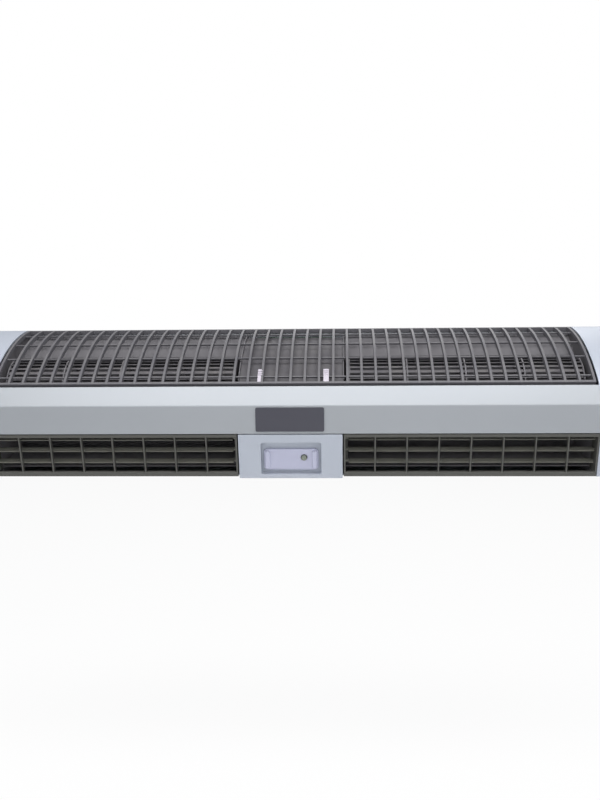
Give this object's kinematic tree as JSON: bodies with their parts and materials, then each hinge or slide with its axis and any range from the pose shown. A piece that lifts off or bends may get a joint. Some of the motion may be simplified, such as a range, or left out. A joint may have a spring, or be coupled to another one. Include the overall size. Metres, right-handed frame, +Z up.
{
  "type": "air curtain",
  "caption": "Wall-mounted cross-flow air curtain with a curved ribbed intake grille, silver front band, slotted outlets with adjustable louvres and a centre control panel.",
  "frame": {"origin": "centre of the back face of the wall bracket, on the wall plane", "axes": "+X along the unit to the right as seen from the front, +Y into the wall, +Z up; the front looks towards -Y"},
  "size_m": [0.93, 0.191, 0.2202],
  "materials": {
    "silver": "satin silver paint on the front band",
    "pale_silver": "satin silver-white moulding",
    "graphite": "dark grey moulded grille",
    "outlet_black": "matt black-grey moulding",
    "blade_grey": "matt dark grey moulding",
    "galvanised": "galvanised sheet",
    "screw_steel": "bright zinc",
    "rubber": "black rubber",
    "white_clip": "white moulding",
    "plate_dark": "dark blank name plate",
    "lilac": "lilac-grey infrared window",
    "olive": "grey-green button",
    "wheel_grey": "dark grey glass-filled moulding",
    "dark_sheet": "dark grey painted sheet",
    "motor_paint": "dark painted motor frame",
    "board": "circuit board",
    "cream": "cream moulding",
    "bronze": "sintered bronze bush",
    "wire_grey": "grey nylon and wire sleeve"
  },
  "bodies": {
    "housing": {"wall_bracket": "galvanised", "chassis": "galvanised", "front_band": "silver", "name_plate": "plate_dark", "centre_panel": "pale_silver", "receiver_window": "lilac", "receiver_board": "board", "motor_body": "motor_paint", "motor_cradle": "galvanised", "control_board": "board", "capacitor": "cream", "terminal_block": "cream", "cable_gland": "wire_grey", "supply_lead": "wire_grey", "motor_lead": "wire_grey", "left_end_cap": "pale_silver", "left_cap_screw_upper": "screw_steel", "left_cap_screw_lower": "screw_steel", "left_scroll": "dark_sheet", "left_tongue": "dark_sheet", "left_side_plate": "dark_sheet", "left_partition": "dark_sheet", "left_outlet_frame": "outlet_black", "left_motor_strap": "galvanised", "left_motor_ring": "rubber", "left_bearing_bracket": "galvanised", "left_bearing_rubber": "rubber", "left_bearing": "bronze", "left_bracket_screw": "screw_steel", "right_end_cap": "pale_silver", "right_cap_screw_upper": "screw_steel", "right_cap_screw_lower": "screw_steel", "right_scroll": "dark_sheet", "right_tongue": "dark_sheet", "right_side_plate": "dark_sheet", "right_partition": "dark_sheet", "right_outlet_frame": "outlet_black", "right_motor_strap": "galvanised", "right_motor_ring": "rubber", "right_bearing_bracket": "galvanised", "right_bearing_rubber": "rubber", "right_bearing": "bronze", "right_bracket_screw": "screw_steel"},
    "grille": {"intake_grille": "graphite"},
    "rotor": {"motor_shaft": "screw_steel", "left_impeller": "wheel_grey", "left_grub_screw": "screw_steel", "right_impeller": "wheel_grey", "right_grub_screw": "screw_steel"},
    "button": {"power_button": "olive"},
    "left_clip": {"left_grille_clip": "white_clip"},
    "left_louvre_1": {"left_louvre_1": "blade_grey"},
    "left_louvre_2": {"left_louvre_2": "blade_grey"},
    "left_louvre_3": {"left_louvre_3": "blade_grey"},
    "left_link": {"left_link_bar": "outlet_black"},
    "right_clip": {"right_grille_clip": "white_clip"},
    "right_louvre_1": {"right_louvre_1": "blade_grey"},
    "right_louvre_2": {"right_louvre_2": "blade_grey"},
    "right_louvre_3": {"right_louvre_3": "blade_grey"},
    "right_link": {"right_link_bar": "outlet_black"}
  },
  "joints": [
    {"name": "grille_hinge", "type": "hinge", "parent": "housing", "child": "grille", "pos_m": [0, -0.0185, 0.0886], "axis": [-1, 0, 0], "range_deg": [0, 60]},
    {"name": "left_clip_slide", "type": "slide", "parent": "grille", "child": "left_clip", "axis": [0, 0.7314, 0.682], "range_m": [0, 0.003], "stiffness_N_per_m": 400},
    {"name": "right_clip_slide", "type": "slide", "parent": "grille", "child": "right_clip", "axis": [0, 0.7314, 0.682], "range_m": [0, 0.003], "stiffness_N_per_m": 400},
    {"name": "rotor_spin", "type": "hinge", "parent": "housing", "child": "rotor", "pos_m": [0, -0.088, -0.007], "axis": [1, 0, 0], "continuous": true},
    {"name": "button_press", "type": "slide", "parent": "housing", "child": "button", "axis": [0, 0.9525, 0.3045], "range_m": [0, 0.0015], "stiffness_N_per_m": 800},
    {"name": "left_louvre_1_hinge", "type": "hinge", "parent": "housing", "child": "left_louvre_1", "pos_m": [-0.248, -0.15619, -0.09729], "axis": [1, 0, 0], "range_deg": [-25, 25]},
    {"name": "left_louvre_2_hinge", "type": "hinge", "parent": "housing", "child": "left_louvre_2", "pos_m": [-0.248, -0.16137, -0.0811], "axis": [1, 0, 0], "range_deg": [-25, 25]},
    {"name": "left_louvre_3_hinge", "type": "hinge", "parent": "housing", "child": "left_louvre_3", "pos_m": [-0.248, -0.16655, -0.0649], "axis": [1, 0, 0], "range_deg": [-25, 25]},
    {"name": "left_link_pivot", "type": "hinge", "parent": "left_louvre_2", "child": "left_link", "pos_m": [-0.078, -0.15518, -0.07912], "axis": [1, 0, 0], "range_deg": [-25, 25]},
    {"name": "right_louvre_1_hinge", "type": "hinge", "parent": "housing", "child": "right_louvre_1", "pos_m": [0.248, -0.15619, -0.09729], "axis": [1, 0, 0], "range_deg": [-25, 25]},
    {"name": "right_louvre_2_hinge", "type": "hinge", "parent": "housing", "child": "right_louvre_2", "pos_m": [0.248, -0.16137, -0.0811], "axis": [1, 0, 0], "range_deg": [-25, 25]},
    {"name": "right_louvre_3_hinge", "type": "hinge", "parent": "housing", "child": "right_louvre_3", "pos_m": [0.248, -0.16655, -0.0649], "axis": [1, 0, 0], "range_deg": [-25, 25]},
    {"name": "right_link_pivot", "type": "hinge", "parent": "right_louvre_2", "child": "right_link", "pos_m": [0.078, -0.15518, -0.07912], "axis": [1, 0, 0], "range_deg": [-25, 25]}
  ],
  "couplings": [
    {"joint": "left_louvre_1_hinge", "follows": "left_louvre_2_hinge", "ratio": 1},
    {"joint": "left_louvre_3_hinge", "follows": "left_louvre_2_hinge", "ratio": 1},
    {"joint": "left_link_pivot", "follows": "left_louvre_2_hinge", "ratio": -1},
    {"joint": "right_louvre_1_hinge", "follows": "right_louvre_2_hinge", "ratio": 1},
    {"joint": "right_louvre_3_hinge", "follows": "right_louvre_2_hinge", "ratio": 1},
    {"joint": "right_link_pivot", "follows": "right_louvre_2_hinge", "ratio": -1}
  ]
}
